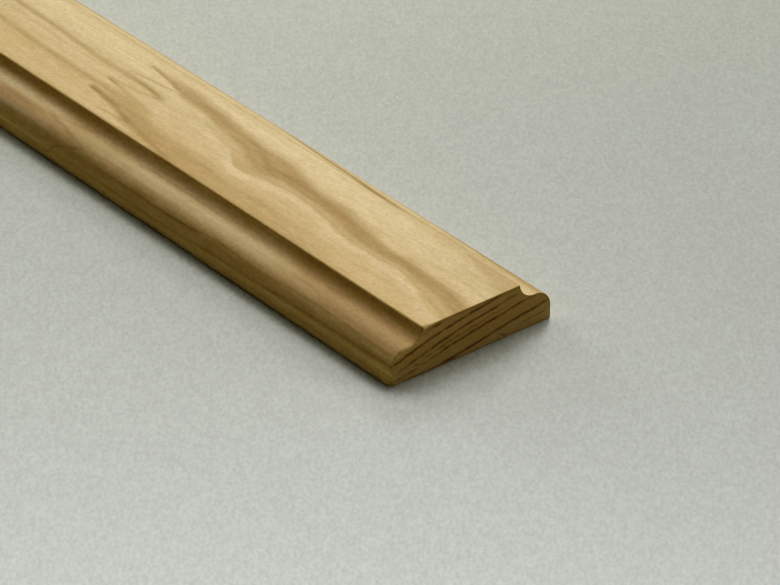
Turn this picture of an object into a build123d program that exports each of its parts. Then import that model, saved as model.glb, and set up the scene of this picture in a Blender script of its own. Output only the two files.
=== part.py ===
from build123d import *
import os

# Cover moulding: one length of planed softwood strip, 40 x 10.5 mm, lying on
# its flat back.  Lengths in millimetres, +Z up.
# Row frame: origin at the middle of the back (underside), X along the length,
# Y across the width, Z out of the back towards the show face.

# ---- driving dimensions ---------------------------------------------------
length = 2400.0        # sold length of one piece
width = 40.0           # overall width of the back
height = 10.5          # back to show face
flat_width = 24.3      # raised flat between the two coves
arris_r = 0.3          # sanded-off arris along the raised flat
foot_r = 0.2           # broken corner along the back

# the two long edges: square edge at the foot, quarter round above it, then the
# cove up to the raised flat.  The front edge (-Y) is planed a little fuller.
front_edge_height, front_round_r, front_cove_r = 3.1, 4.4, 3.2
rear_edge_height, rear_round_r, rear_cove_r = 3.0, 4.0, 3.8

# ---- derived --------------------------------------------------------------
half = width / 2.0
arris_y = flat_width / 2.0                       # side of the raised flat


def edge(side, edge_height, round_r, cove_r):
    """Outline of one long edge, from the middle of the back up to the middle of
    the raised flat; side is -1 for the front (-Y) and 1 for the rear (+Y)."""
    ledge_z = edge_height + round_r              # top of the quarter round
    cove_cz = ledge_z + cove_r                   # centre of the cove
    cove_cy = arris_y + (cove_r ** 2 - (cove_cz - height) ** 2) ** 0.5
    round_cy = half - round_r                    # centre of the quarter round
    k = 2.0 ** -0.5
    n = ((cove_cy - arris_y) ** 2 + (cove_r + cove_cz - height) ** 2) ** 0.5
    cove_mid = (cove_cy - cove_r * (cove_cy - arris_y) / n,
                cove_cz - cove_r * (cove_r + cove_cz - height) / n)

    def at(y, z):
        return (side * y, z)

    Line(at(0.0, 0.0), at(half, 0.0))
    Line(at(half, 0.0), at(half, edge_height))
    ThreePointArc(at(half, edge_height),
                  at(round_cy + round_r * k, edge_height + round_r * k),
                  at(round_cy, ledge_z))
    Line(at(round_cy, ledge_z), at(cove_cy, ledge_z))
    ThreePointArc(at(cove_cy, ledge_z), at(*cove_mid), at(arris_y, height))
    Line(at(arris_y, height), at(0.0, height))
    return "ledge at %.2f from y %.2f to %.2f" % (ledge_z, cove_cy, round_cy)


# ---- section across the length --------------------------------------------
with BuildPart() as moulding:
    with BuildSketch(Plane.YZ) as section:
        with BuildLine() as outline:
            notes = [edge(-1, front_edge_height, front_round_r, front_cove_r),
                     edge(1, rear_edge_height, rear_round_r, rear_cove_r)]
        make_face()
        # section coordinates: X across the width, Y up
        fillet([v for v in section.vertices()
                if abs(v.Y - height) < 1e-6 and abs(abs(v.X) - arris_y) < 1e-6], arris_r)
        fillet([v for v in section.vertices()
                if abs(v.Y) < 1e-6 and abs(abs(v.X) - half) < 1e-6], foot_r)
    extrude(amount=length / 2.0, both=True)

solid = moulding.part.solids()[0]
solid.label = "moulding"

area = solid.volume / length
print("section area %.2f mm2, volume %.1f cm3" % (area, solid.volume / 1000.0), notes)

os.makedirs("parts", exist_ok=True)
export_step(solid, "parts/moulding.step")
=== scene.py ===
import math

import bpy
import numpy as np
from mathutils import Matrix, Vector
from mathutils.geometry import delaunay_2d_cdt


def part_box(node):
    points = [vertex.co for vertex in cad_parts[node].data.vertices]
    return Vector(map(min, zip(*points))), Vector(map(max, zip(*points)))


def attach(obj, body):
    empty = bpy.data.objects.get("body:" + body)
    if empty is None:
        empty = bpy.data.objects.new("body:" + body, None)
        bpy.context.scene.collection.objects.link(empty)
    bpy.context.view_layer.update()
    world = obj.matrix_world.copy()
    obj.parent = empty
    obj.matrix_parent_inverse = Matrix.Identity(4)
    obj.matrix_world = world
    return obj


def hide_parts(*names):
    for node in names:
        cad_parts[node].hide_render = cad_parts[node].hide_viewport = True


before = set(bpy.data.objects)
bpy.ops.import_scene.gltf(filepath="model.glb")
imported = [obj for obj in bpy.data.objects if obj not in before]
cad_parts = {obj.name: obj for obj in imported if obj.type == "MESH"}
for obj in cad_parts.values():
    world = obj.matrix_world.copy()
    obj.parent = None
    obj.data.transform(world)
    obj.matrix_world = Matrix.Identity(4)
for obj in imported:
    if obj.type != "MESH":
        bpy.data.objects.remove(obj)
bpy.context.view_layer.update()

# ---------------------------------------------------------------------------
# Sizes, in millimetres, as in the CAD source.  "Along" is measured from the
# sawn end that shows (0) into the piece (negative); "across" from the front
# edge (0) to the rear edge (40); "up" from the back (0) to the flat (10.5).
# ---------------------------------------------------------------------------
LO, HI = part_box("moulding")
LENGTH = (HI.x - LO.x) * 1000.0
WIDTH = (HI.y - LO.y) * 1000.0
HEIGHT = (HI.z - LO.z) * 1000.0
FLAT_HALF, FOOT_R = 12.15, 0.2
# square edge, quarter round, cove, and the worn round of the arris: the front
# edge was planed a little fuller than the rear one
FRONT = dict(edge_h=3.1, round_r=4.4, cove_r=3.2, arris_r=0.45)
REAR = dict(edge_h=3.0, round_r=4.0, cove_r=3.8, arris_r=0.26)

# ---------------------------------------------------------------------------
# Section outline
# ---------------------------------------------------------------------------


def arc(cy, cz, r, a0, a1, n, first=False):
    t = np.radians(np.linspace(a0, a1, n + 1))
    pts = np.stack([cy + r * np.cos(t), cz + r * np.sin(t)], 1)
    return pts if first else pts[1:]


def half_section(edge_h, round_r, cove_r, arris_r):
    """Half of the show side, from the foot to the middle of the flat, across and up."""
    ledge = edge_h + round_r
    cz = ledge + cove_r
    arris = WIDTH / 2 - FLAT_HALF
    cy = arris - math.sqrt(cove_r ** 2 - (cz - HEIGHT) ** 2)
    # small worn round on the arris, tangent to the cove and to the flat
    fy = cy + math.sqrt((cove_r + arris_r) ** 2 - (cz - HEIGHT + arris_r) ** 2)
    fz = HEIGHT - arris_r
    a_touch = math.degrees(math.atan2(fz - cz, fy - cy))
    parts = [
        arc(FOOT_R, FOOT_R, FOOT_R, 270, 180, 4, True),
        np.array([[0, z] for z in (0.4, 0.7, 1.1, 1.6, 2.1, 2.6, edge_h)]),
        arc(round_r, edge_h, round_r, 180, 90, 18),
        arc(cy, cz, cove_r, -90, a_touch, 14, True),
        arc(fy, fz, arris_r, a_touch + 180, 90, 6),
    ]
    n = 24
    flat = np.stack([np.linspace(fy, WIDTH / 2, n + 1)[1:], np.full(n, HEIGHT)], 1)
    return np.concatenate(parts + [flat])


front = half_section(**FRONT)
rear = half_section(**REAR)[:-1][::-1].copy()
rear[:, 0] = WIDTH - rear[:, 0]
show = np.concatenate([front, rear])            # front foot over the top to the rear foot
under_n = 16
under = np.stack([np.linspace(show[-1, 0], show[0, 0], under_n + 1)[1:-1], np.zeros(under_n - 1)], 1)
ring = np.concatenate([show, under])            # closed outline, clockwise seen from the +X end
N_SHOW, N_RING = len(show), len(ring)
girth = np.r_[0, np.cumsum(np.hypot(*np.diff(np.concatenate([ring, ring[:1]]), axis=0).T))]


def stations():
    """Distances from the showing end, dense in the first stretch and coarser beyond."""
    near = [0.0, 0.02, 0.06, 0.12, 0.2, 0.3, 0.45, 0.65, 0.9, 1.3]
    d = near + [2.0]
    while d[-1] < 150:
        d.append(d[-1] + 1.0)
    step = 1.0
    far = [LENGTH - x for x in reversed(near)]
    while d[-1] + step < far[0] - 2:
        step = min(step * 1.05, 12.0)
        d.append(d[-1] + step)
    if far[0] - d[-1] < 2.0:
        d.pop()
    return np.array(d + far)


depth = stations()
N_ST = len(depth)

rng = np.random.default_rng(7)


def wobble(t, scale, seed, octaves=3):
    """Smooth repeatable noise of one variable, about -1 to 1."""
    r = np.random.default_rng(seed)
    out, amp, total = np.zeros_like(t, float), 1.0, 0.0
    for _ in range(octaves):
        n = int(abs(t).max() / scale) + 8
        knots = r.uniform(-1, 1, n + 4)
        p = abs(t) / scale
        i = np.floor(p).astype(int)
        f = p - i
        f = f * f * (3 - 2 * f)
        out += amp * (knots[i] * (1 - f) + knots[i + 1] * f)
        total += amp
        amp *= 0.5
        scale *= 0.5
    return out / total


def end_inset(ds, r):
    """How far the outline draws in at a sawn end whose corner is worn over the distance r."""
    return 0.82 * r * np.clip(1 - ds / r, 0, 1) ** 1.4


# how far in each part of the end's outline is worn: hardly at all along the top
# and the rear, more on the front bead and cove, most at the near bottom corner
WEAR = [(0.0, 1.00), (1.5, 0.70), (3.0, 0.30), (4.8, 0.30), (6.6, 0.42), (8.2, 0.40), (10.2, 0.28), (13.0, 0.22),
        (14.9, 0.34), (15.8, 0.50), (16.6, 0.34), (18.0, 0.15), (30.0, 0.11), (39.0, 0.10), (44.0, 0.07),
        (55.0, 0.07), (60.0, 0.12), (88.0, 0.30), (94.6, 0.95)]


# outward normal of the outline at each point
prev_p, next_p = np.roll(ring, 1, 0), np.roll(ring, -1, 0)
tan = next_p - prev_p
nrm = np.stack([-tan[:, 1], tan[:, 0]], 1)
nrm /= np.linalg.norm(nrm, axis=1)[:, None]

verts = np.zeros((N_ST, N_RING, 3))
for i, dpt in enumerate(depth):
    to_end = min(dpt, LENGTH - dpt)
    ragged = 1 + 0.35 * wobble(girth[:-1], 0.9, 11 if dpt < LENGTH / 2 else 12)
    worn = np.interp(girth[:-1], *np.array(WEAR).T) if dpt < LENGTH / 2 else np.full(N_RING, 0.16)
    off = end_inset(to_end, worn * ragged)[:, None] * nrm
    yz = ring - off
    yz[:, 1] = np.maximum(yz[:, 1], 0.0)
    verts[i, :, 0] = -dpt
    verts[i, :, 1:] = yz
# tiny hand-work wobble of the arrises: the flat's two edges aren't knife straight
arris_w = 0.035 * wobble(depth, 9.0, 21)
arris_w2 = 0.035 * wobble(depth, 11.0, 22)
for j in range(N_SHOW):
    y, z = ring[j]
    for a_y, w in ((WIDTH / 2 - FLAT_HALF, arris_w), (WIDTH / 2 + FLAT_HALF, arris_w2)):
        k = math.exp(-(((y - a_y) / 0.45) ** 2)) * (1.0 if z > HEIGHT - 0.8 else 0.0)
        verts[:, j, 2] -= np.abs(w) * k
# the flat's near corner on the front side is knocked off a little
cx_, cy_ = 0.0, WIDTH / 2 - FLAT_HALF
for i in range(N_ST):
    if depth[i] > 2.5:
        break
    dd = (depth[i] - cx_) * 0.9 + np.maximum(verts[i, :N_SHOW, 1] - cy_, -0.2)
    k = np.clip(1 - dd / 0.75, 0, 1) * (ring[:N_SHOW, 1] > HEIGHT - 0.5)
    verts[i, :N_SHOW, 2] -= 0.32 * k

end_rows = (verts[0].copy(), verts[-1].copy())


def to_row(p):
    """Along, across, up in millimetres to the row frame in metres."""
    q = np.array(p, float)
    return np.stack([HI.x + q[..., 0] / 1000, LO.y + q[..., 1] / 1000, LO.z + q[..., 2] / 1000], -1)


# ---------------------------------------------------------------------------
# Bake layout: the strip in five lengths, show side above, underside below,
# and the two ends enlarged.  In pixels of a 1024 square.
# ---------------------------------------------------------------------------
PX = 1024.0
N_SEG = 5
SEG = LENGTH / N_SEG
SHOW_PX, UNDER_PX, GAP = 113.0, 60.0, 6.0


def uv_show(seg, d, s):
    u = 12 + (d - seg * SEG) / SEG * 1000
    v = 6 + seg * (SHOW_PX + GAP) + s / girth[N_SHOW - 1] * SHOW_PX
    return u / PX, v / PX


def uv_under(seg, d, s):
    u = 12 + (d - seg * SEG) / SEG * 1000
    v = 606 + seg * (UNDER_PX + GAP) + s * UNDER_PX
    return u / PX, v / PX


def uv_end(k, y, z):
    return (16 + k * 500 + y * 11.0) / PX, (942 + z * 7.2) / PX


# segment borders have to be stations
depth_seg = np.clip((depth / SEG).astype(int), 0, N_SEG - 1)
for s in range(1, N_SEG):
    i = int(np.argmin(abs(depth - s * SEG)))
    verts[i, :, 0] = -s * SEG
    depth[i] = s * SEG

co = to_row(verts.reshape(-1, 3))
faces, uvs, mats = [], [], []
for i in range(N_ST - 1):
    seg = min(int((depth[i] + depth[i + 1]) / 2 / SEG), N_SEG - 1)
    for j in range(N_RING):
        k = (j + 1) % N_RING
        faces.append((i * N_RING + j, (i + 1) * N_RING + j, (i + 1) * N_RING + k, i * N_RING + k))
        corners = ((i, j, 0), (i + 1, j, 0), (i + 1, k, 1), (i, k, 1))
        if j < N_SHOW - 1:
            uvs += [uv_show(seg, depth[a], girth[b]) for a, b, _ in corners]
        else:
            g0 = girth[N_SHOW - 1]
            total = girth[-1] - g0
            uvs += [uv_under(seg, depth[a], (girth[j + e] - g0) / total) for a, b, e in corners]
        mats.append(0)

# ---------------------------------------------------------------------------
# Sawn ends: the outline filled with a fine net, so the saw marks are real relief
# ---------------------------------------------------------------------------


def net(outline, pitch):
    pts = [tuple(p) for p in outline]
    n = len(pts)
    edges = [(a, (a + 1) % n) for a in range(n)]
    yy, zz = np.meshgrid(np.arange(0, WIDTH, pitch), np.arange(0, HEIGHT, pitch))
    yy[1::2] += pitch / 2
    yy, zz = yy.ravel(), zz.ravel()
    inside = np.zeros(len(yy), bool)
    dist = np.full(len(yy), 9.0)
    for a, b in edges:
        (ya, za), (yb, zb) = pts[a], pts[b]
        if za != zb:
            inside ^= ((za > zz) != (zb > zz)) & (yy < (yb - ya) * (zz - za) / (zb - za) + ya)
        t = np.clip(((yy - ya) * (yb - ya) + (zz - za) * (zb - za)) / ((yb - ya) ** 2 + (zb - za) ** 2), 0, 1)
        dist = np.minimum(dist, np.hypot(yy - ya - t * (yb - ya), zz - za - t * (zb - za)))
    keep = inside & (dist > pitch * 0.45)
    pts += list(zip(yy[keep].tolist(), zz[keep].tolist()))
    out = delaunay_2d_cdt([Vector(p) for p in pts], edges, [], 1, 1e-7)
    return np.array([tuple(v) for v in out[0]]), [tuple(f) for f in out[2]], out[3]


def saw_relief(y, z, seed):
    """Saw marks: shallow, slightly curved furrows across the end."""
    r = np.random.default_rng(seed)
    ph = r.uniform(0, 6.28, 6)
    t = y * 0.28 + z * 0.96 + 0.0025 * (y - 17) ** 2
    marks = 0.5 * np.sin(t * 9.1 + ph[0]) + 0.35 * np.sin(t * 15.7 + ph[1] + 0.8 * np.sin(y * 0.35 + ph[2]))
    marks += 0.3 * np.sin(t * 26.3 + ph[3] + 0.6 * np.sin(y * 0.9 + ph[4]))
    return 0.012 * marks


extra = []
for end in (0, 1):
    pts2, tris, origin = net(end_rows[end][:, 1:], 0.27)
    origin_ring = {}
    for new_i, src in enumerate(origin):
        for sx in src:
            if sx < N_RING:
                origin_ring[new_i] = sx
    base = len(co) + len(extra)
    row0 = 0 if end == 0 else (N_ST - 1) * N_RING
    y, z = pts2[:, 0], pts2[:, 1]
    dist = np.minimum.reduce([np.hypot(y - a, z - b) for a, b in end_rows[end][:, 1:]])
    rel = saw_relief(y, z, 31 + end) * np.clip(dist / 0.3, 0, 1)
    index = {}
    count = 0
    src_row = end_rows[end]
    for n_i in range(len(pts2)):
        if n_i in origin_ring:
            index[n_i] = row0 + origin_ring[n_i]
        else:
            index[n_i] = base + count
            count += 1
            along = (0.0 if end == 0 else -LENGTH) + (rel[n_i] - 0.012) * (1 if end == 0 else -1)
            extra.append((along, y[n_i], z[n_i]))
    for f in tris:
        a, b, c = f
        area = (y[b] - y[a]) * (z[c] - z[a]) - (y[c] - y[a]) * (z[b] - z[a])
        if abs(area) < 1e-9:
            continue
        if (area < 0) == (end == 0):
            a, b, c = a, c, b
        faces.append((index[a], index[b], index[c]))
        uvs += [uv_end(end, y[q] if end == 0 else WIDTH - y[q], z[q]) for q in (a, b, c)]
        mats.append(1)

co = np.concatenate([co, to_row(np.array(extra))])
mesh = bpy.data.meshes.new("moulding_wood")
mesh.from_pydata([tuple(p) for p in co], [], faces)
uvl = mesh.uv_layers.new(name="OFBake")
uvl.data.foreach_set("uv", np.array(uvs, np.float32).ravel())
mesh.polygons.foreach_set("material_index", np.array(mats, np.int32))
mesh.polygons.foreach_set("use_smooth", np.ones(len(faces), bool))
mesh.update()
mesh.validate()
mesh.set_sharp_from_angle(angle=math.radians(38))
wood = bpy.data.objects.new("moulding_wood", mesh)
bpy.context.scene.collection.objects.link(wood)

# ---------------------------------------------------------------------------
# Node helpers
# ---------------------------------------------------------------------------


class Val:
    """A socket that takes arithmetic, each operation a Math node."""

    def __init__(self, net_, socket):
        self.net, self.s = net_, socket

    def _op(self, op, *others, clamp=False):
        return self.net.math(op, self, *others, clamp=clamp)

    def __add__(self, o): return self._op("ADD", o)
    def __radd__(self, o): return self._op("ADD", o)
    def __sub__(self, o): return self._op("SUBTRACT", o)
    def __rsub__(self, o): return self.net.math("SUBTRACT", o, self)
    def __mul__(self, o): return self._op("MULTIPLY", o)
    def __rmul__(self, o): return self._op("MULTIPLY", o)
    def __truediv__(self, o): return self._op("DIVIDE", o)


class Net:
    def __init__(self, tree):
        self.tree = tree

    def node(self, kind, **props):
        n = self.tree.nodes.new(kind)
        for k, v in props.items():
            setattr(n, k, v)
        return n

    def put(self, socket, value):
        if isinstance(value, Val):
            self.tree.links.new(value.s, socket)
        elif hasattr(value, "is_output"):
            self.tree.links.new(value, socket)
        else:
            socket.default_value = value

    def math(self, op, *args, clamp=False):
        n = self.node("ShaderNodeMath", operation=op, use_clamp=clamp)
        for i, a in enumerate(args):
            self.put(n.inputs[i], a)
        return Val(self, n.outputs[0])

    def smooth(self, v, lo, hi, out0=0.0, out1=1.0):
        n = self.node("ShaderNodeMapRange", interpolation_type="SMOOTHSTEP")
        self.put(n.inputs["Value"], v)
        self.put(n.inputs["From Min"], lo)
        self.put(n.inputs["From Max"], hi)
        self.put(n.inputs["To Min"], out0)
        self.put(n.inputs["To Max"], out1)
        return Val(self, n.outputs["Result"])

    def mix(self, fac, a, b):
        n = self.node("ShaderNodeMix", data_type="FLOAT")
        self.put(n.inputs[0], fac)
        self.put(n.inputs[2], a)
        self.put(n.inputs[3], b)
        return Val(self, n.outputs[0])

    def mix_color(self, fac, a, b, blend="MIX"):
        n = self.node("ShaderNodeMix", data_type="RGBA", blend_type=blend)
        self.put(n.inputs[0], fac)
        for sock, v in ((n.inputs[6], a), (n.inputs[7], b)):
            if isinstance(v, (tuple, list)):
                sock.default_value = (*v[:3], 1.0)
            else:
                self.put(sock, v)
        return Val(self, n.outputs[2])

    def vec(self, x, y, z):
        n = self.node("ShaderNodeCombineXYZ")
        for i, v in enumerate((x, y, z)):
            self.put(n.inputs[i], v)
        return Val(self, n.outputs[0])

    def noise(self, x, y, z, detail=2.0, rough=0.5, distortion=0.0):
        """Noise about 0, roughly -0.5 to 0.5."""
        n = self.node("ShaderNodeTexNoise", noise_dimensions="3D")
        self.put(n.inputs["Vector"], self.vec(x, y, z))
        n.inputs["Scale"].default_value = 1.0
        n.inputs["Detail"].default_value = detail
        n.inputs["Roughness"].default_value = rough
        n.inputs["Distortion"].default_value = distortion
        return Val(self, n.outputs[0]) - 0.5

    def curve(self, v, points, linear=False):
        """A drawn curve: points are (input, output) in their own units."""
        xs = [p[0] for p in points]
        ys = [p[1] for p in points]
        x0, x1, y0, y1 = min(xs), max(xs), min(ys), max(ys)
        y1 = max(y1, y0 + 1e-3)
        n = self.node("ShaderNodeFloatCurve")
        t = self.math("MULTIPLY_ADD", v, 1.0 / (x1 - x0), -x0 / (x1 - x0), clamp=True)
        self.put(n.inputs["Value"], t)
        c = n.mapping.curves[0]
        norm = [((x - x0) / (x1 - x0), (y - y0) / (y1 - y0)) for x, y in points]
        norm.sort()
        c.points[0].location, c.points[1].location = norm[0], norm[-1]
        for p in norm[1:-1]:
            c.points.new(*p)
        for p in c.points:
            p.handle_type = "VECTOR" if linear else "AUTO"
        n.mapping.update()
        return self.math("MULTIPLY_ADD", Val(self, n.outputs[0]), y1 - y0, y0)

    def ramp(self, v, stops, interpolation="LINEAR"):
        n = self.node("ShaderNodeValToRGB")
        self.put(n.inputs[0], v)
        r = n.color_ramp
        r.interpolation = interpolation
        while len(r.elements) < len(stops):
            r.elements.new(0.5)
        for e, (pos, val) in zip(r.elements, stops):
            e.position = pos
            e.color = (*val[:3], 1.0) if isinstance(val, (tuple, list)) else (val, val, val, 1.0)
        return Val(self, n.outputs[0])


# ---------------------------------------------------------------------------
# Growth rings.  The rings lie almost flat in this board and climb from the
# front edge to the rear; bark side up, so each band darkens upwards and ends
# in a crisp line.  "u" is the height across the rings in millimetres.
# ---------------------------------------------------------------------------
TILT, BEND = 0.235, 0.0013
RING_EDGES = [(-9.0, -2), (-6.9, -1), (-4.7, 0), (-2.9, 1), (0.3, 2), (2.5, 3), (4.6, 4),
              (7.0, 5), (9.72, 6), (11.9, 7), (14.2, 8), (16.6, 9)]
# how the rings wander up and down along the piece
DRIFT = [(-175, -2.6), (-135, -2.75), (-113, -2.85), (-100, -2.52), (-95, -2.27), (-90, -2.19), (-82, -2.10),
         (-75, -1.89), (-71, -1.54), (-68, -1.09), (-66, -1.0), (-60, -1.09), (-52, -1.24), (-50, -1.22), (-40, -0.95),
         (-30, -0.69), (-20, -0.76), (-10, -0.62), (-5, -0.43), (-0.5, -0.33), (0, 0.0)]
# where the grain dips, about 100 mm in, and the rings beyond the dip
DIP_LINE = [(0, -102), (5, -101), (9.5, -97), (12, -103), (14.5, -112), (17, -104), (19.6, -111.5), (22.3, -98.5),
            (26, -104), (29.5, -112.5), (32, -108), (36, -104), (40, -104)]
DIP_SOFT = [(0, 18.0), (6, 12.0), (9, 3.0), (12, 2.4), (28, 2.4), (31, 4.0), (36, 14.0), (40, 16.0)]
BEYOND = [(0, 12.83), (5, 11.8), (8, 11.2), (10, 10.95), (12, 10.75), (14.5, 10.1), (16, 9.45), (19.6, 8.05),
          (22.8, 6.98), (26, 6.1), (29.5, 5.3), (33, 4.75), (36, 4.6), (40, 4.4)]


def ring_field(g):
    tc = g.node("ShaderNodeTexCoord")
    sep = g.node("ShaderNodeSeparateXYZ")
    g.tree.links.new(tc.outputs["Object"], sep.inputs[0])
    x = g.math("MULTIPLY_ADD", Val(g, sep.outputs[0]), 1000.0, -HI.x * 1000)
    y = g.math("MULTIPLY_ADD", Val(g, sep.outputs[1]), 1000.0, -LO.y * 1000)
    z = g.math("MULTIPLY_ADD", Val(g, sep.outputs[2]), 1000.0, -LO.z * 1000)
    raw = z
    z = z - g.math("MULTIPLY_ADD", z, 1 / 3.5, -2.0, clamp=True) * 0.5   # rings lie closer in the raised part

    broad = g.noise(x / 34.0, y / 7.0, z / 7.0, detail=1.0)
    fibre = g.noise(x / 9.0, y / 0.55, z / 0.55, detail=3.0, rough=0.6)
    shape = g.math("MULTIPLY_ADD", y, BEND, -TILT) * y + z          # z - TILT y + BEND y^2
    near = shape - g.curve(x, DRIFT)
    beyond = g.curve(y, BEYOND) + z - 10.0
    comb = g.noise(x / 60.0, y / 1.5, z / 3.0, detail=2.0)
    dip = g.curve(y, DIP_LINE, linear=True) + comb * 5.0
    soft = g.curve(y, DIP_SOFT)
    far_side = g.smooth((x - dip) / soft, -1.0, 1.0)
    u = g.mix(far_side, beyond, near)
    # the rest of the length, out of the picture: slow drift of the same rings
    slow = g.noise(x / 260.0, 3.7, 1.9, detail=1.5) * 6.5
    ripple = g.noise(x / 60.0, y / 22.0, z / 22.0, detail=2.0) * 1.1
    rest = shape + 1.6 + slow + ripple
    away = g.smooth(x, -165.0, -240.0)
    u = g.mix(away, u, rest)
    # feathering of the ring edges by the fibres, strongest in the dip
    rough_zone = g.curve(x, [(-200, 0.10), (-140, 0.14), (-118, 0.42), (-104, 0.60), (-92, 0.38), (-78, 0.16),
                             (-60, 0.10), (0, 0.08)])
    u = u + broad * 0.18 + fibre * rough_zone
    count = g.curve(u, RING_EDGES, linear=True) + 10.0
    frac = g.math("FRACT", count)
    return dict(x=x, y=y, z=raw, frac=frac, away=away)


LATE_SOFT = [(0.0, 0.0), (0.40, 0.03), (0.52, 0.16), (0.62, 0.52), (0.74, 0.95), (0.84, 1.0), (0.93, 0.90),
             (0.975, 0.74), (0.992, 0.0)]
LATE_THIN = [(0.0, 0.0), (0.55, 0.02), (0.72, 0.10), (0.83, 0.46), (0.92, 0.62), (0.965, 0.55), (0.992, 0.0)]
LATE_END = [(0.0, 0.05), (0.25, 0.0), (0.5, 0.06), (0.66, 0.22), (0.76, 0.70), (0.86, 1.0), (0.94, 0.9), (0.985, 0.08)]

PALE = (0.660, 0.472, 0.222)
PALE_REAR = (0.768, 0.592, 0.306)
STREAK = (0.780, 0.595, 0.318)
BROWN = (0.462, 0.300, 0.134)
WARM = (0.520, 0.330, 0.145)
DEEP = (0.300, 0.188, 0.072)

# ---------------------------------------------------------------------------
# The figure of the planed faces by the showing end, drawn as strokes and
# bands, with one stroke on the rear edge that is painted shade.  Lines are
# (along, across) on the flat.  On the front edge "across" is y + z and on the
# rear edge y - z, both of which run on steadily down the moulded edge.
# ---------------------------------------------------------------------------
BAND_LOW = [(-165, 30.2), (-120, 29.6), (-115.5, 29.2), (-113, 28.95), (-110, 28.5), (-107, 28.0), (-105, 27.6), (-103, 27.2),
            (-101.5, 26.6), (-100, 25.5), (-95, 24.9), (-92, 24.6), (-90, 23.9), (-88, 23.0), (-85, 22.3), (-80, 21.2),
            (-77, 20.2), (-75, 19.5), (-73, 18.3), (-71, 17.2), (-69, 16.9), (-65, 17.9), (-60, 18.8), (-57, 19.2),
            (-55, 19.4), (-50, 19.3), (-45, 18.7), (-42, 18.2), (-40, 17.7), (-37, 17.2), (-35, 17.0), (-32, 16.7),
            (-30, 16.85), (-25, 16.85), (-22, 17.2), (-20, 17.5), (-17, 17.2), (-15, 16.7), (-12, 16.1), (-10, 15.4),
            (-7, 14.8), (-5, 14.0), (-3, 13.5), (0, 12.7)]
BAND_SOFT = [(-165, 0.6), (-103, 0.6), (-100, 1.3), (-78, 1.5), (-72, 0.45), (0, 0.45)]
BAND_CORE = [(-165, 30.6), (-120, 30.0), (-116, 29.6), (-110, 29.1), (-105, 28.0), (-100, 26.9), (-97, 27.0), (-90, 27.0),
             (-85, 26.3), (-80, 26.2), (-75, 25.8), (-72, 24.8), (-70, 24.0), (-67, 22.7), (-65, 22.0), (-60, 23.0),
             (-55, 22.8), (-50, 22.3), (-45, 22.0), (-40, 21.8), (-35, 20.5), (-32, 20.2), (-25, 20.2), (-20, 20.1),
             (-15, 19.8), (-10, 19.6), (-5, 18.8), (0, 17.6)]
BAND_HIGH = [(-165, 31.4), (-115.5, 29.9), (-112, 30.2), (-105, 30.3), (-100, 30.5), (-95, 30.0), (-90, 29.5), (-87, 29.0),
             (-80, 28.0), (-75, 27.5), (-70, 27.3), (-65, 27.5), (-60, 26.5), (-55, 25.5), (-50, 25.0), (-42, 24.8),
             (-40, 24.3), (-35, 23.5), (-32, 23.0), (-30, 22.3), (-27, 21.8), (-25, 21.7), (-22, 22.2), (-20, 22.5),
             (-15, 21.8), (-7, 21.5), (-3, 21.0), (0, 20.0)]
BAND_AMP = [(-165, 0.0), (-117, 0.0), (-114, 0.55), (-110, 0.75), (-105, 0.7), (-101, 0.8), (-95, 0.8), (-82, 0.85), (-74, 0.95), (-60, 1.0),
            (-35, 0.95), (0, 0.9)]
BAND_STEP = [(-165, 0.9), (-104, 0.9), (-98, 0.5), (-90, 0.3), (-80, 0.25), (-75, 0.35), (-70, 0.45), (-55, 0.5),
             (-40, 0.5), (-30, 0.45), (0, 0.5)]

FRONT_LOW = [(-165, 15.6), (-116.3, 14.3), (-113, 13.9), (-110, 13.5), (-106, 12.8), (-103, 12.3), (-100, 11.6),
             (-97.5, 11.2), (-95, 10.8), (-92, 10.4), (-90, 10.0), (-87, 9.3), (-85, 8.7), (-83, 8.0), (-80, 7.0),
             (-70, 5.0), (0, 3.0)]
FRONT_HIGH = [(-165, 16.0), (-116, 15.0), (-112, 16.0), (-108, 16.6), (-104, 16.8), (-100, 16.4), (-95, 15.4), (-90, 14.8),
              (-80, 14.3), (-75, 14.5), (-70, 13.6), (-65, 13.5), (-60, 14.0), (-55, 14.6), (-50, 13.8), (-45, 13.3),
              (-40, 13.0), (-35, 12.5), (-30, 12.0), (-25, 11.0), (-20, 10.0), (-12, 8.5), (0, 7.0)]
FRONT_AMP = [(-165, 0.0), (-116.5, 0.0), (-113, 0.5), (-107, 0.75), (-98, 0.75), (-84, 0.72), (-60, 0.62), (-42, 0.52), (-20, 0.08), (0, 0.0)]

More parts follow.
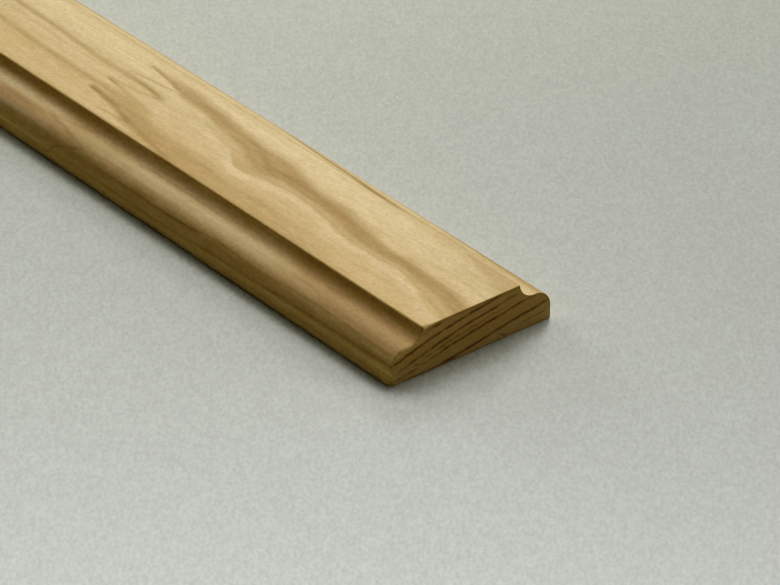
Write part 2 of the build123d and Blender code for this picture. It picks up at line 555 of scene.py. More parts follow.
# (line, strength along it, reach below, reach above); dark strokes on the flat
FLAT_DARK = [
    # the older ring lines that run in from the left and end in a zigzag
    ([(-165, 24.2), (-150, 24.0), (-140, 23.7), (-130, 23.1), (-120, 22.8), (-115, 22.9), (-110, 23.0), (-105, 22.5),
      (-100, 22.0)], [(-165, 0.7), (-118, 0.65), (-110, 0.85), (-103, 0.8), (-99.8, 0.0)], 1.3, 1.5),
    ([(-117, 19.1), (-115.8, 19.3), (-112, 19.8), (-108, 20.3), (-104, 21.0), (-102, 21.6)],
     [(-117, 0.0), (-115, 0.45), (-103, 0.4), (-101, 0.0)], 0.6, 1.1),
    ([(-117, 19.8), (-116, 19.3), (-112, 18.45), (-108, 18.0), (-104, 17.6), (-101, 17.1), (-98, 16.3)],
     [(-117, 0.0), (-115.5, 0.7), (-112, 0.55), (-104, 0.5), (-98, 0.0)], 0.6, 1.2),
    ([(-165, 17.3), (-150, 17.0), (-140, 16.5), (-130, 16.3), (-120, 16.2), (-116, 16.3), (-110, 16.5), (-104, 16.7),
      (-100, 16.5), (-97, 15.8)], [(-165, 0.65), (-104, 0.65), (-97, 0.0)], 1.4, 1.7),
    # fingers of the main band
    ([(-115.5, 29.2), (-113, 28.95), (-110, 28.5), (-107, 28.0), (-105, 27.6), (-103, 27.2), (-101.5, 26.8)],
     [(-116, 0.0), (-114, 0.5), (-103, 0.45), (-101, 0.0)], 0.5, 0.8),
    ([(-116, 24.4), (-112, 24.8), (-109, 25.4), (-105, 25.9), (-102, 26.4), (-100, 26.3)],
     [(-117, 0.0), (-115, 0.45), (-103, 0.55), (-99, 0.0)], 0.6, 0.7),
    # lower edge of the front band, its thick part and a small finger
    (FRONT_LOW, [(-165, 0.0), (-116.5, 0.0), (-114.5, 0.7), (-108, 0.5), (-98, 0.35), (-83, 0.30), (-80, 0.0), (0, 0.0)], 0.6, 1.4),
    ([(-104, 11.6), (-100, 10.9), (-97, 10.6), (-93, 10.0), (-90, 9.6), (-87, 9.1), (-84, 8.4), (-80, 7.5)],
     [(-104, 0.0), (-100, 0.75), (-92, 0.75), (-84, 0.55), (-78, 0.0)], 1.7, 3.4),
    ([(-108, 10.2), (-104, 10.45), (-100, 10.9)], [(-108.5, 0.0), (-106, 0.3), (-100, 0.4), (-98, 0.0)], 0.35, 0.35),
    # along the rear arris
    ([(-165, 32.2), (0, 32.0)], [(-165, 0.25), (-70, 0.25), (-62, 0.0), (-52, 0.0), (-49, 0.3), (-40, 0.3), (-36, 0.0), (0, 0.0)], 1.1, 0.6),
    ([(-42, 32.6), (0, 32.4)], [(-43, 0.0), (-36, 0.45), (-28, 0.45), (-20, 0.55), (0, 0.5)], 3.0, 0.6),
]
FLAT_PALE = [
    ([(-86, 21.9), (-85, 21.6), (-80, 20.5), (-77, 20.0), (-75, 19.0), (-72, 17.0), (-70, 16.3), (-65, 16.8), (-60, 17.8),
      (-57, 18.5), (-50, 18.5), (-45, 17.8), (-40, 16.9), (-35, 15.8), (-30, 16.0), (-20, 16.0), (-15, 15.6),
      (-10, 14.3), (-5, 12.5), (0, 11.0)],
     [(-90, 0.0), (-84, 0.6), (-70, 0.8), (-30, 0.6), (-10, 0.5), (0, 0.3)], 2.8, 0.9),
    ([(-118, 9.0), (-97, 9.0)], [(-118, 0.0), (-114, 0.5), (-99, 0.4), (-96, 0.0)], 0.9, 0.9),
    ([(-95, 29.8), (-88, 29.9), (-60, 29.3), (-25, 29.5)], [(-100, 0.0), (-90, 0.8), (-27, 0.6), (-20, 0.0)], 2.6, 2.6),
    ([(-116, 26.8), (-112, 26.8), (-104, 26.4)], [(-117, 0.0), (-112, 0.5), (-105, 0.5), (-103, 0.0)], 0.9, 0.9),
]
# the deepest lines: the late wood's last cells
FLAT_DEEP = [
    ([(-116.5, 14.5), (-113, 14.0), (-110, 13.5), (-105, 12.6), (-100, 11.5), (-97, 10.9), (-93, 10.3), (-90, 9.9),
      (-87, 9.2), (-84, 8.5)],
     [(-117, 0.0), (-115, 0.6), (-110, 0.45), (-104, 0.45), (-100, 0.60), (-95, 0.32), (-88, 0.32), (-84, 0.2), (-80, 0.0)],
     0.9, 1.6),
    ([(-113, 23.1), (-110, 23.0), (-105, 22.5), (-100.5, 22.0)], [(-114, 0.0), (-110, 0.35), (-103, 0.4), (-100, 0.0)], 0.4, 0.4),
    ([(-115, 29.2), (-110, 28.5), (-105, 27.7), (-102, 27.0)], [(-116, 0.0), (-112, 0.3), (-104, 0.4), (-101, 0.0)], 0.45, 0.6),
    ([(-108.5, 10.2), (-104, 10.45), (-100, 10.9)], [(-109, 0.0), (-106, 0.4), (-100, 0.3), (-98, 0.0)], 0.4, 0.4),
    ([(-117, 19.2), (-112, 18.8)], [(-117.5, 0.0), (-115.5, 0.35), (-112, 0.2), (-110, 0.0)], 0.5, 0.6),
    (BAND_CORE, [(-165, 0.0), (-104, 0.0), (-98, 0.28), (-88, 0.22), (-78, 0.18), (-70, 0.3), (-30, 0.25), (0, 0.15)], 1.0, 1.6),
]
FLAT_WARM = [
    ([(-96, 11.6), (-84, 10.8), (-66, 10.3)], [(-98, 0.0), (-92, 0.4), (-80, 0.6), (-70, 0.55), (-62, 0.1), (-58, 0.0)], 2.2, 2.4),
    ([(-62, 9.9), (-44, 9.7)], [(-65, 0.0), (-57, 0.5), (-50, 0.5), (-42, 0.0)], 2.0, 2.2),
    ([(-112, 15.6), (-98, 15.6)], [(-112, 0.0), (-106, 0.5), (-100, 0.4), (-97, 0.0)], 1.3, 1.2),
    ([(-98, 28.0), (-78, 27.0)], [(-98, 0.0), (-92, 0.4), (-84, 0.3), (-76, 0.0)], 1.2, 1.2),
]
# dark strokes on the front edge, across = y + z
EDGE_DARK = [
    ([(-117, 11.7), (-116, 11.6), (-113, 12.1), (-110, 12.7), (-105, 13.5), (-100, 14.6)],
     [(-117, 0.0), (-115, 0.5), (-104, 0.4), (-99, 0.0)], 0.8, 0.8),
    ([(-117, 11.7), (-116, 11.5), (-113, 10.9), (-110, 10.4), (-106, 9.4), (-103, 8.7), (-100, 7.9)],
     [(-117, 0.0), (-115, 0.55), (-103, 0.5), (-99, 0.0)], 0.9, 0.9),
    ([(-104.5, 6.9), (-103, 7.1), (-101, 7.9)], [(-105, 0.0), (-103, 0.5), (-101, 0.0)], 0.45, 0.45),
    ([(-112, 1.6), (-111, 2.4), (-110, 3.4), (-109, 4.3), (-107, 5.35), (-105, 6.3), (-103, 7.0), (-101, 7.8)],
     [(-113, 0.0), (-110, 0.4), (-104, 0.4), (-102, 0.0)], 0.8, 0.8),
    ([(-165, 5.8), (-105, 5.75), (-90, 5.85), (-80, 5.9), (-72, 5.9), (-67, 6.1), (-62, 6.6), (-58, 7.1), (-54, 7.35),
      (-50, 7.2), (-44, 6.9), (-40, 6.95), (-35, 7.4), (-30, 7.7), (-20, 7.9), (-10, 7.6), (0, 7.5)],
     [(-165, 0.15), (-105, 0.25), (-84, 0.4), (-72, 0.6), (-54, 0.65), (-46, 0.45), (-38, 0.35), (-28, 0.5), (-20, 0.4), (0, 0.3)],
     0.9, 0.6),
    ([(-110, 2.6), (-90, 2.8), (-80, 2.8), (-75, 2.65), (-70, 2.85), (-65, 3.0), (-60, 3.3), (-55, 3.5), (-45, 3.55), (-40, 3.75),
      (-35, 4.1), (-30, 4.25), (-20, 4.45), (-10, 4.6), (0, 4.8)],
     [(-165, 0.0), (-112, 0.1), (-90, 0.45), (-75, 0.45), (-68, 0.35), (-58, 0.6), (-45, 0.45), (-35, 0.55), (0, 0.6)], 0.8, 0.7),
    ([(-60, 0.9), (-50, 1.3), (-42, 1.5), (-36, 1.2), (-30, 1.6), (-20, 1.5), (-15, 1.25), (-10, 1.4), (0, 1.2)],
     [(-64, 0.0), (-50, 0.4), (0, 0.4)], 0.5, 0.5),
    ([(-88, 13.8), (-60, 13.9)], [(-90, 0.0), (-82, 0.4), (-62, 0.35), (-58, 0.0)], 0.6, 0.6),
    ([(-30, 9.3), (-20, 9.2), (-12, 9.0), (-5, 9.0), (0, 9.2)],
     [(-34, 0.0), (-25, 0.3), (-12, 0.5), (-4, 0.5), (0, 0.3)], 0.9, 1.3),
]
EDGE_PALE = [
    ([(-165, 2.8), (-112, 2.8)], [(-165, 0.9), (-116, 0.9), (-110, 0.0)], 0.7, 0.7),
    ([(-165, 5.5), (-110, 5.5)], [(-165, 0.6), (-114, 0.6), (-108, 0.0)], 0.6, 0.6),
    ([(-40, 6.0), (0, 6.2)], [(-44, 0.0), (-34, 0.3), (-18, 0.4), (0, 0.4)], 0.8, 0.8),
    ([(-46, 2.9), (0, 3.1)], [(-48, 0.0), (-40, 0.35), (0, 0.45)], 0.6, 0.6),
    ([(-165, 13.4), (-112, 13.6)], [(-165, 0.8), (-130, 1.0), (-115, 0.9), (-106, 0.0)], 2.4, 2.2),
    ([(-165, 7.2), (-112, 7.4)], [(-165, 0.7), (-130, 0.8), (-116, 0.8), (-106, 0.0)], 1.3, 1.4),
]
# warm, reddish areas of the front edge
EDGE_WARM = [
    ([(-134, 10.6), (-124, 10.9), (-116, 11.5)], [(-136, 0.0), (-131, 1.0), (-119, 0.9), (-116, 0.3), (-114, 0.0)], 2.3, 1.6),
]
REAR_DARK = [
    ([(-80, 31.1), (-75, 30.7), (-70, 30.3), (-65, 30.0), (-60, 29.9), (-55, 29.6), (-50, 29.2), (-45, 29.05), (-38, 29.0)],
     [(-82, 0.0), (-76, 0.7), (-62, 1.0), (-48, 1.0), (-42, 0.6), (-37, 0.0)], 0.7, 1.2),
    # painted shade, not a ring line: darkens the far side of the rear bead
    ([(-165, 31.6), (-45, 31.8), (-30, 31.7), (-20, 31.3), (-9, 30.8), (0, 30.6)],
     [(-165, 0.75), (-80, 0.75), (-60, 0.5), (-45, 0.6), (-30, 0.85), (-20, 1.0), (0, 1.0)], 1.4, 4.5),
    ([(-40, 29.2), (0, 29.6)], [(-44, 0.0), (-34, 0.25), (-20, 0.3), (0, 0.35)], 1.2, 1.6),
]


def stroke(g, x, across, spec):
    line, amp, below, above = spec
    d = across - g.curve(x, line)
    return g.smooth(d, -below, 0.0) * g.smooth(d, 0.0, above, 1.0, 0.0) * g.curve(x, amp, linear=True)


def over(g, first, *more):
    """Layers of tint, each laid over what the ones before left."""
    left = 1.0 - first
    for m in more:
        left = left * (1.0 - m)
    return 1.0 - left


def figure(g, x, y, z):
    """Brown, pale and warm shares of the drawn figure; the brown share also holds painted shade on the far side of the
    rear bead.
    """
    feather = g.noise(x / 9.0, y / 0.55, z / 0.55, detail=3.0, rough=0.6)
    sway = g.noise(x / 30.0, y / 4.0, z / 4.0, detail=1.0)
    reach = g.curve(x, [(-165, 0.35), (-130, 0.35), (-118, 0.9), (-96, 1.1), (-84, 0.7), (-70, 0.35), (0, 0.30)])
    move = feather * reach + sway * 0.25
    across = y + move

    # main band: a crisp lower edge, a paler step, the dark core, a soft top
    low, core, high = g.curve(x, BAND_LOW), g.curve(x, BAND_CORE), g.curve(x, BAND_HIGH)
    edge_l = g.smooth((across - low) / g.curve(x, BAND_SOFT, linear=True), -0.5, 0.5)
    step = g.curve(x, BAND_STEP, linear=True)
    rise = g.smooth((across - low) / (core - low), 0.28, 0.66)
    fall = g.smooth(across - high, -2.3, 1.0, 1.0, 0.0)
    band = edge_l * g.mix(rise, step, 1.0) * fall * g.curve(x, BAND_AMP, linear=True)
    # band along the front arris
    f_low, f_high = g.curve(x, FRONT_LOW), g.curve(x, FRONT_HIGH)
    f_band = g.smooth(across - f_low, -0.2, 0.25) * g.smooth(across - f_high, -2.6, 0.8, 1.0, 0.0)
    f_band = f_band * g.curve(x, FRONT_AMP, linear=True)
    # the next ring comes up in the rear corner
    r_low = g.curve(x, [(-165, 50.0), (-18, 34.0), (-15, 31.7), (-8, 29.5), (-3, 27.5), (0, 26.5)], linear=True)
    r_band = g.smooth(across - r_low, -1.0, 0.8) * 0.42
    r_dim = g.smooth(x, -26.0, -8.0) * g.smooth(across, 22.5, 25.5) * 0.22
    flat = over(g, band, f_band, r_band, r_dim, *[stroke(g, x, across, s) for s in FLAT_DARK])
    flat_pale = over(g, stroke(g, x, across, FLAT_PALE[0]), *[stroke(g, x, across, s) for s in FLAT_PALE[1:]])
    flat_deep = over(g, stroke(g, x, across, FLAT_DEEP[0]), *[stroke(g, x, across, s) for s in FLAT_DEEP[1:]])
    flat_warm = over(g, stroke(g, x, across, FLAT_WARM[0]), *[stroke(g, x, across, s) for s in FLAT_WARM[1:]])

    # front edge
    v = y + z + move * 0.8
    patch = g.smooth(x + feather * 4.0, -36.0, -33.5) * g.smooth(
        v - g.curve(x, [(-40, 10.9), (-30, 10.7), (-25, 10.0), (-20, 9.5), (-10, 9.3), (0, 8.9)]), -0.3, 0.3)
    edge = over(g, stroke(g, x, v, EDGE_DARK[0]), *[stroke(g, x, v, s) for s in EDGE_DARK[1:]])
    patch = patch * g.smooth(v, 12.8, 15.4, 0.62, 0.12)
    edge_warm = over(g, patch, *[stroke(g, x, v, s) for s in EDGE_WARM])
    edge_pale = g.smooth(v, 9.0, 10.0) * g.smooth(x, -36.0, -43.0) * g.smooth(x, -112.0, -80.0) * 0.46
    edge_pale = over(g, edge_pale, *[stroke(g, x, v, s) for s in EDGE_PALE])
    # rear edge: ring lines, and painted shade on the far side of the bead
    w = y - z - move * 0.8
    back = over(g, stroke(g, x, w, REAR_DARK[0]), *[stroke(g, x, w, s) for s in REAR_DARK[1:]])
    back_deep = stroke(g, x, w, REAR_DARK[0]) * 0.22

    on_flat = g.smooth(z, 9.9, 10.4)
    front_side = g.smooth(y, 19.0, 21.0, 1.0, 0.0)
    dark = g.mix(on_flat, g.mix(front_side, back, edge), flat)
    pale = g.mix(on_flat, edge_pale * front_side, flat_pale)
    warm = g.mix(on_flat, edge_warm * front_side, flat_warm)
    deep = g.mix(on_flat, g.mix(front_side, back_deep, 0.0), flat_deep)
    return dark, pale, warm, deep


def wood_long():
    m = bpy.data.materials.new("pine_planed")
    m.use_nodes = True
    g = Net(m.node_tree)
    bsdf = m.node_tree.nodes["Principled BSDF"]
    f = ring_field(g)
    x, y, z = f["x"], f["y"], f["z"]
    rings = g.ramp(f["frac"], LATE_SOFT) * 0.8
    rings_pale = g.ramp(f["frac"], [(0.0, 1.0), (0.10, 0.85), (0.32, 0.30), (0.5, 0.0)]) * 0.7
    dark, pale, warm, deep = figure(g, x, y, z)
    # underside and the length out of the picture show the plain rings
    plain = g.math("MAXIMUM", f["away"], g.smooth(z, 0.25, 0.05))
    dark = g.mix(plain, dark, rings)
    pale = g.mix(plain, pale, rings_pale)
    warm = warm * (1.0 - plain)
    deep = deep * (1.0 - plain)
    # bands fade and gather a little along the grain
    cloud = g.noise(x / 26.0, y / 5.0, z / 5.0, detail=2.0)
    dark = g.math("MULTIPLY", dark, g.math("MULTIPLY_ADD", cloud, 0.5, 1.0), clamp=True)
    base = g.mix_color(g.smooth(y + cloud * 6.0, 12.0, 31.0), PALE, PALE_REAR)   # yellower towards the rear
    col = g.mix_color(g.math("MULTIPLY_ADD", cloud, 0.5, pale, clamp=True), base, STREAK)
    col = g.mix_color(dark, col, BROWN)
    col = g.mix_color(warm * 0.7, col, WARM)
    col = g.mix_color(deep, col, DEEP)
    # brightness across the moulded edges: not a property of the wood but a
    # correction fitted to the photo, for the light that the lamps leave out
    on_flat = g.smooth(z, 10.05, 10.45)
    edge_painted_light = g.curve(y + z, [(0, 1.16), (1, 1.08), (3, 0.98), (6, 0.90), (8, 0.89), (9.5, 0.88), (11, 0.84), (12, 0.87),
                           (13, 0.95), (14.3, 0.94), (15.5, 0.93), (17, 0.86), (18, 0.82)])
    edge_painted_light = g.mix(g.smooth(y, 19.0, 21.0), edge_painted_light, 0.80)
    # fibres: long thin streaks, broad faint streaks, and a fine and a soft mottle
    fleck = g.noise(x / 3.2, y / 0.8, z / 0.8, detail=4.0, rough=0.65)
    fib = g.noise(x / 16.0, y / 0.20, z / 0.20, detail=3.0, rough=0.6)
    mot = g.noise(x / 6.0, y / 1.7, z / 1.7, detail=3.0, rough=0.6)
    broad = g.noise(x / 70.0, y / 1.4, z / 1.4, detail=2.0, rough=0.6)
    grit = g.noise(x / 0.84, y / 0.74, z / 0.74, detail=1.0)
    tone = g.math("MULTIPLY_ADD", fib, 0.11, 1.0) + mot * 0.26 + fleck * 0.24 + broad * 0.30
    # a few short resin ducts, dark dashes along the grain
    duct = g.noise(x / 5.0, y / 0.13, z / 0.13, detail=0.0)
    dash = g.smooth(duct, 0.29, 0.36)
    tone = (tone - dash * 0.11) * g.mix(on_flat, edge_painted_light, 1.0)
    grain = g.mix_color(grit + 0.5, (0.88, 0.825, 0.775), (1.12, 1.175, 1.225))
    col = g.mix_color(1.0, col, grain, blend="MULTIPLY")
    # painted light: a colour cast on the moulded edges, a little bluer on the front edge and warmer on the rear one,
    # standing in for the colour of the light there
    tint = g.mix_color(g.smooth(y, 19.0, 21.0), (1.0, 1.0, 1.09), (0.995, 0.98, 0.945))
    col = g.mix_color(1.0 - on_flat, col, tint, blend="MULTIPLY")
    # tint of the lowest strip, standing in for light bounced off the floor
    col = g.mix_color(g.smooth(y + z, 2.4, 0.3), col, (1.07, 1.19, 1.32), blend="MULTIPLY")
    hsv = g.node("ShaderNodeHueSaturation")
    g.put(hsv.inputs["Value"], tone)
    g.put(hsv.inputs["Saturation"], g.math("MULTIPLY_ADD", mot, -0.10, 1.0))
    g.put(hsv.inputs["Color"], col)
    g.put(bsdf.inputs["Base Color"], Val(g, hsv.outputs[0]))
    g.put(bsdf.inputs["Roughness"], g.math("MULTIPLY_ADD", fib, 0.12, 0.62) + fleck * 0.1)
    bsdf.inputs["IOR"].default_value = 1.45
    bsdf.inputs["Specular IOR Level"].default_value = 0.15
    bump = g.node("ShaderNodeBump")
    bump.inputs["Strength"].default_value = 0.28
    bump.inputs["Distance"].default_value = 0.00006
    g.put(bump.inputs["Height"], fib + mot * 0.6 + fleck * 0.5 - dash)
    g.put(bsdf.inputs["Normal"], bump.outputs[0])
    return m


# ring lines of the showing end, across and up, each with its own breaks
END_DARK = [
    ([(0.3, 4.6), (1, 4.9), (2, 5.1), (3, 5.4), (4, 5.8), (5, 5.9), (6, 6.3), (7, 6.5), (8, 6.75), (9, 7.05), (10, 7.3),
      (11, 7.5), (12, 7.7), (13, 7.95), (14, 8.1), (15, 8.25), (16, 8.45), (17, 8.55), (18, 8.75), (19, 8.95), (20, 9.15),
      (22, 9.3), (24, 9.6), (26, 9.9), (28.5, 10.15)],
     [(0, 0.7), (1, 0.95), (2.2, 0.7), (3, 0.85), (5, 1.0), (7.5, 0.9), (8.2, 0.7), (9, 1.0), (10.3, 0.75), (12, 1.0),
      (13.1, 0.7), (14, 1.0), (16, 0.8), (17.5, 0.95), (18.5, 0.6), (20, 1.0), (24, 0.85), (26, 0.85), (28.5, 0.0)], 0.54, 0.54),
    ([(1.5, 2.7), (2.5, 3.0), (3.5, 3.2), (4.5, 3.6), (5.5, 3.85), (6.5, 4.1), (7.5, 4.3), (8.5, 4.6), (9.5, 4.9),
      (10.3, 5.05), (11, 5.25), (12, 5.5), (13, 5.7), (14, 5.9), (15, 6.1), (16, 6.4), (17, 6.6), (18, 6.75), (19, 6.95),
      (20, 7.1), (21, 7.25), (22, 7.35), (23, 7.5), (24, 7.65), (25, 7.8), (26, 7.8), (27, 8.1), (28, 8.25), (29, 8.5),
      (30, 8.6), (31, 8.6), (32, 8.7)],
     [(1, 0.0), (2, 0.5), (4, 0.45), (5, 0.85), (6, 0.8), (7, 0.5), (8, 0.7), (9.7, 0.5), (10.5, 0.9), (15, 0.85), (16, 0.6),
      (18, 0.95), (21, 0.75), (22, 1.0), (24, 0.7), (25, 0.95), (26, 0.9), (27.5, 0.5), (30.5, 0.7), (32, 0.0)], 0.54, 0.54),
    ([(11.5, 4.1), (12.5, 4.3), (13, 4.4), (14, 4.8), (15, 4.9), (16, 5.1), (17, 5.25), (18, 5.3), (19, 5.6), (20, 5.9),
      (21, 5.8), (22, 6.0), (25, 6.5), (27, 6.8), (29, 7.0)],
     [(11, 0.0), (12.2, 0.8), (13.2, 0.65), (13.6, 0.3), (14.6, 0.5), (15.6, 0.3), (16.3, 0.75), (17.5, 0.25), (19, 0.5),
      (21, 0.5), (23, 0.25), (25, 0.45), (29, 0.35), (31, 0.0)], 0.44, 0.44),
    ([(6, 2.9), (7, 2.6), (8.2, 2.35), (9.2, 2.6), (10, 2.8), (11, 2.9), (12, 3.1), (13, 3.4), (14, 3.6), (15, 3.8),
      (16, 3.95), (17, 4.1), (18, 4.25), (19, 4.45), (20, 4.7), (21, 4.85), (22, 4.95), (23, 5.1), (24, 5.3), (25, 5.4),
      (26, 5.5), (27, 5.6), (28, 5.75), (29, 5.95), (30, 6.2), (31, 6.3), (32, 6.5), (33, 6.6), (36, 6.7)],
     [(5.5, 0.0), (6.3, 0.6), (7.3, 0.3), (8.2, 0.6), (9.2, 0.2), (10.2, 0.6), (12, 0.65), (13.2, 1.0), (14.2, 0.95),
      (14.7, 0.5), (15.6, 0.85), (17, 0.9), (19, 0.7), (20, 0.9), (21.3, 0.7), (22, 1.0), (23.2, 0.7), (24, 0.95), (26, 1.0),
      (27, 0.65), (29, 0.7), (30.5, 0.9), (32.3, 0.95), (33.2, 0.6), (36, 0.5), (36.6, 0.0)], 0.5, 0.5),
    ([(8, 3.6), (10.2, 3.75)], [(7.6, 0.0), (8.5, 0.5), (9.8, 0.4), (10.5, 0.0)], 0.35, 0.35),
    ([(12, 0.4), (13, 0.6), (14, 0.7), (15, 0.75), (16, 0.95), (17, 1.1), (18, 1.2), (19, 1.45), (20, 1.55), (21, 1.7),
      (22, 1.85), (23, 2.05), (24, 2.15), (25, 2.4), (26, 2.6), (27, 2.7), (28, 2.85), (29, 3.05), (30, 3.25), (31, 3.25),
      (32, 3.5), (33, 3.65), (34, 3.7), (35, 3.75), (36, 3.9), (37, 4.1), (38, 4.3), (39.5, 4.5)],
     [(11.5, 0.0), (13, 0.9), (16, 1.0), (17.6, 0.8), (19.5, 1.0), (20.4, 0.85), (21, 1.0), (22.2, 0.85), (23.2, 1.0),
      (25, 0.9), (28, 1.0), (29.4, 0.85), (30.5, 1.0), (32, 1.0), (34, 0.9), (36, 1.0), (36.6, 0.6), (38, 0.75), (39, 0.2)],
     0.54, 0.54),
    ([(7.2, 8.9), (8.5, 9.0), (9, 9.2), (10, 9.5), (11, 9.6), (12, 9.7), (13, 10.0), (14.5, 10.1)],
     [(6.8, 0.0), (7.5, 0.7), (9, 0.7), (9.5, 0.45), (11.2, 0.9), (12, 0.85), (12.6, 0.4), (14.5, 0.3)], 0.54, 0.54),
    ([(0, 0.9), (2, 1.2), (4.7, 1.6), (6, 1.75), (7, 1.9)],
     [(0, 0.5), (1.2, 0.3), (2, 0.65), (3.4, 0.3), (4.7, 0.6), (6, 0.6), (7, 0.0)], 0.5, 0.6),
    ([(0, 0.3), (12, 0.35)], [(0, 0.6), (6, 0.4), (12, 0.6), (14, 0.0)], 0.35, 0.35),
    ([(26.5, 1.9), (28, 0.85), (29, 0.7)], [(26, 0.0), (27.5, 0.45), (28.3, 0.7), (29.2, 0.0)], 0.5, 0.5),
    ([(32, 1.7), (34, 1.95), (36, 2.1), (37, 2.1), (38.5, 2.5)], [(31, 0.0), (34, 0.45), (38, 0.45), (39, 0.0)], 0.5, 0.5),
]


def wood_end():
    m = bpy.data.materials.new("pine_sawn_end")
    m.use_nodes = True
    g = Net(m.node_tree)
    bsdf = m.node_tree.nodes["Principled BSDF"]
    f = ring_field(g)
    x, y, z = f["x"], f["y"], f["z"]
    tear = g.noise(y / 2.6, z / 0.8, 4.1, detail=3.0, rough=0.65)
    up_ = z + tear * 0.22
    lines = over(g, stroke(g, y, up_, END_DARK[0]), *[stroke(g, y, up_, s) for s in END_DARK[1:]])
    late = g.mix(f["away"], lines, g.ramp(f["frac"], LATE_END))
    broken = g.noise(y / 2.2, z / 0.9, x / 3.0, detail=3.0, rough=0.6)
    late = g.math("MULTIPLY", late, g.math("MULTIPLY_ADD", broken, 1.0, 0.95), clamp=True)
    pale, dark = (0.325, 0.232, 0.118), (0.118, 0.078, 0.032)
    blot = g.noise(x / 3.0, y / 3.0, z / 1.2, detail=3.0, rough=0.6)
    col = g.mix_color(g.math("MULTIPLY_ADD", blot, 0.42, late * 0.80, clamp=True), pale, dark)   # blots and ring lines
    # the ring of pale wood above the first line, by the front edge
    above = g.smooth(z - g.curve(y, END_DARK[0][0]), 0.3, 0.9) * g.smooth(y, 11.0, 6.0)
    col = g.mix_color(above * 0.5, col, (0.41, 0.29, 0.135))
    # two tints fitted to the photo, both painted light: the lowest strip lighter and bluer, standing in for fill light
    # the lamps leave out, and the strip above the middle a little darker, painted shade
    col = g.mix_color(g.smooth(z, 4.5, 0.8), col, (1.04, 1.10, 1.20), blend="MULTIPLY")
    col = g.mix_color(g.smooth(z, 3.4, 4.4) * g.smooth(z, 6.6, 5.8), col, (0.95, 0.95, 0.92), blend="MULTIPLY")
    # scratches of the saw, running down to the rear
    rays = g.noise((y + z) / 0.32, (y - z) / 3.2, x / 2.0, detail=3.0, rough=0.65)
    hsv = g.node("ShaderNodeHueSaturation")
    g.put(hsv.inputs["Value"], g.math("MULTIPLY_ADD", rays, 0.45, 1.0))
    g.put(hsv.inputs["Color"], col)
    g.put(bsdf.inputs["Base Color"], Val(g, hsv.outputs[0]))
    bsdf.inputs["Roughness"].default_value = 0.85
    bsdf.inputs["IOR"].default_value = 1.45
    bsdf.inputs["Specular IOR Level"].default_value = 0.2
    bump = g.node("ShaderNodeBump")
    bump.inputs["Strength"].default_value = 0.5
    bump.inputs["Distance"].default_value = 0.0001
    g.put(bump.inputs["Height"], rays)
    g.put(bsdf.inputs["Normal"], bump.outputs[0])
    return m


mesh.materials.append(wood_long())
mesh.materials.append(wood_end())
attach(wood, "root")
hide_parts("moulding")

# ---------------------------------------------------------------------------
# Stage: a pale floor with a painted light falloff near the piece, a soft key from behind and above, weak fill
# ---------------------------------------------------------------------------
fm = bpy.data.meshes.new("floor")
R = 80.0
fm.from_pydata([(-R, -R, -0.00003), (R, -R, -0.00003), (R, R, -0.00003), (-R, R, -0.00003)], [], [(0, 1, 2, 3)])
floor = bpy.data.objects.new("floor", fm)
bpy.context.scene.collection.objects.link(floor)
fmat = bpy.data.materials.new("floor_pale")
fmat.use_nodes = True
fb = fmat.node_tree.nodes["Principled BSDF"]
fb.inputs["Base Color"].default_value = (0.575, 0.592, 0.525, 1)
fb.inputs["Roughness"].default_value = 0.9
fb.inputs["Specular IOR Level"].default_value = 0.15
fg = Net(fmat.node_tree)
ftc = fg.node("ShaderNodeTexCoord")
fsep = fg.node("ShaderNodeSeparateXYZ")
fg.tree.links.new(ftc.outputs["Object"], fsep.inputs[0])
# painted light: the floor colour is a little brighter towards the front and towards the showing end, and bluer with it,
# a painted falloff of the light that fades out to an even floor away from the piece
fx = fg.math("MINIMUM", fg.math("MAXIMUM", fg.math("MULTIPLY_ADD", Val(fg, fsep.outputs[0]), 1000.0, -HI.x * 1000), -140.0), 100.0)
fy = fg.math("MINIMUM", fg.math("MAXIMUM", fg.math("MULTIPLY_ADD", Val(fg, fsep.outputs[1]), 1000.0, -LO.y * 1000), -90.0), 150.0)
gain = fg.math("MULTIPLY_ADD", fx, 0.00079, 1.028) - fy * 0.00163 + fx * fx * 4.0e-6 - fx * fy * 1.43e-5
blue = fg.math("MULTIPLY_ADD", fx, 0.00030, 1.015) - fy * 0.00022
rx = fg.math("MULTIPLY", Val(fg, fsep.outputs[0]), 1000.0)
ry = fg.math("MULTIPLY", Val(fg, fsep.outputs[1]), 1000.0)
far_x, far_y = (rx - HI.x * 1000 + 30.0) / 1000.0, (ry - LO.y * 1000 - 32.0) / 1000.0
near = fg.smooth(far_x * far_x + far_y * far_y, 0.024, 0.20, 1.0, 0.0)
gain = fg.math("MINIMUM", fg.math("MAXIMUM", gain, 0.885), 1.195)
gain = fg.mix(near, 1.0, gain)
blue = fg.mix(near, 1.0, blue)
# the fleck is stretched along the photo's line of sight, a fixed direction on
# the floor, so that it reads nearly round in the picture
lay = math.radians(140.8)
f_along, f_across = rx * math.cos(lay) + ry * math.sin(lay), ry * math.cos(lay) - rx * math.sin(lay)
speck = fg.noise(f_along / 1.10, f_across / 0.64, 0.5, detail=1.0)
soft_speck = fg.noise(rx / 2.6, ry / 2.6, 7.5, detail=2.0)
gain = gain * (fg.math("MULTIPLY_ADD", speck, 0.36, 1.0) + soft_speck * 0.08)
fcol = fg.node("ShaderNodeCombineColor")
fg.put(fcol.inputs[0], gain * 0.567)
fg.put(fcol.inputs[1], gain * 0.585)
fg.put(fcol.inputs[2], gain * blue * 0.520)
fg.put(fb.inputs["Base Color"], Val(fg, fcol.outputs[0]))
fm.materials.append(fmat)


def sun(name, energy, angle, to_light, color=(1, 1, 1)):
    l = bpy.data.lights.new(name, "SUN")
    l.energy, l.angle, l.color = energy, math.radians(angle), color
    o = bpy.data.objects.new(name, l)
    d = Vector(to_light).normalized()
    o.rotation_mode = "QUATERNION"
    o.rotation_quaternion = d.to_track_quat("Z", "Y")
    bpy.context.scene.collection.objects.link(o)
    return o


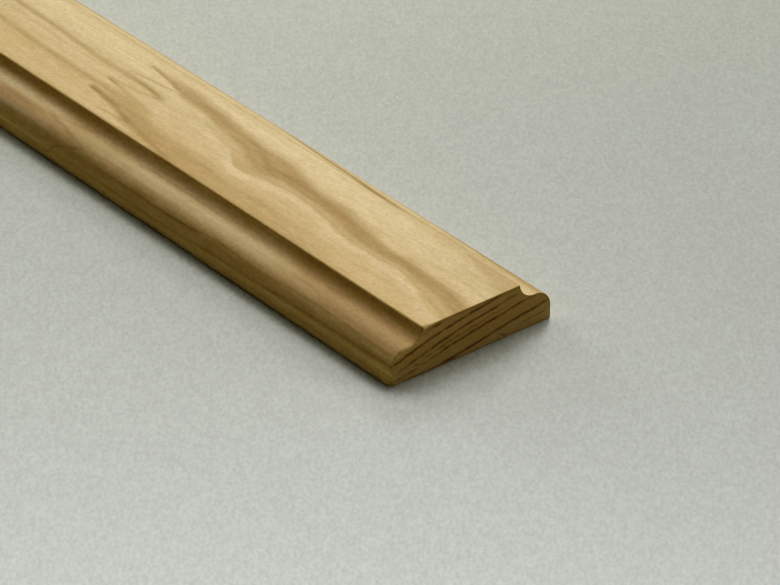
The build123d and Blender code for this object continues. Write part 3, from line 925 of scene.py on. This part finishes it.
# (azimuth, elevation, angle across, strength): a soft key from behind and to
# the left, built of overlapping patches, over a low glow round that side
PANELS = [
    (130, 28, 13, 0.822), (130, 45, 13, 0.417), (130, 56, 13, 0.241), (152, 45, 13, 0.054), (198, 40, 13, 0.190),
    (180, 35, 26, 0.098), (55, 58, 26, 0.085), (100, 58, 26, 0.712), (145, 58, 26, 0.519),
    (45, 12, 24, 0.950), (90, 12, 24, 0.339), (180, 12, 24, 0.747), (270, 12, 24, 0.038),
]
for i, (a_, e_, w_, s_) in enumerate(PANELS):
    a_, e_ = math.radians(a_), math.radians(e_)
    sun("panel_%02d" % i, s_, w_, (math.cos(e_) * math.cos(a_), math.cos(e_) * math.sin(a_), math.sin(e_)))

world = bpy.data.worlds.new("studio")
bpy.context.scene.world = world
world.use_nodes = True
wt = world.node_tree
bg = wt.nodes["Background"]
bg.inputs["Color"].default_value = (0.9, 0.95, 1.0, 1)
bg.inputs["Strength"].default_value = 0.0
seen = wt.nodes.new("ShaderNodeBackground")
seen.inputs["Color"].default_value = (0.50, 0.515, 0.455, 1)
seen.inputs["Strength"].default_value = 1.0
lp = wt.nodes.new("ShaderNodeLightPath")
mx = wt.nodes.new("ShaderNodeMixShader")
wt.links.new(lp.outputs["Is Camera Ray"], mx.inputs[0])
wt.links.new(bg.outputs[0], mx.inputs[1])
wt.links.new(seen.outputs[0], mx.inputs[2])
wt.links.new(mx.outputs[0], wt.nodes["World Output"].inputs[0])

# ---------------------------------------------------------------------------
# Camera: the photo's angle and its long lens
# ---------------------------------------------------------------------------
cam_data = bpy.data.cameras.new("camera")
cam_data.sensor_width = 36.0
cam_data.lens = 210.401
cam_data.dof.use_dof = False
cam_data.clip_start, cam_data.clip_end = 0.01, 300.0
cam = bpy.data.objects.new("camera", cam_data)
bpy.context.scene.collection.objects.link(cam)
az, el, roll = math.radians(140.76988), math.radians(31.84851), math.radians(0.03582)
fwd = Vector((math.cos(el) * math.cos(az), math.cos(el) * math.sin(az), -math.sin(el)))
right = fwd.cross(Vector((0, 0, 1))).normalized()
up = right.cross(fwd)
r2 = right * math.cos(roll) + up * math.sin(roll)
u2 = -right * math.sin(roll) + up * math.cos(roll)
rot = Matrix((r2, u2, -fwd)).transposed()
cam.matrix_world = Matrix.Translation((1.7614228, -0.4785772, 0.4717294)) @ rot.to_4x4()
bpy.context.scene.camera = cam

# ---------------------------------------------------------------------------
# Picture: plain display transform, with the gentle contrast of a small camera
# ---------------------------------------------------------------------------
vs = bpy.context.scene.view_settings
vs.view_transform = "Standard"
vs.look = "None"
vs.exposure, vs.gamma = 0.0, 1.0
vs.use_curve_mapping = True
cm = vs.curve_mapping
c = cm.curves[3]
for px_, py_ in ((0.03, 0.004), (0.05, 0.012), (0.092, 0.051), (0.124, 0.084), (0.185, 0.153), (0.26, 0.248), (0.4, 0.4)):
    c.points.new(px_, py_)
cm.update()
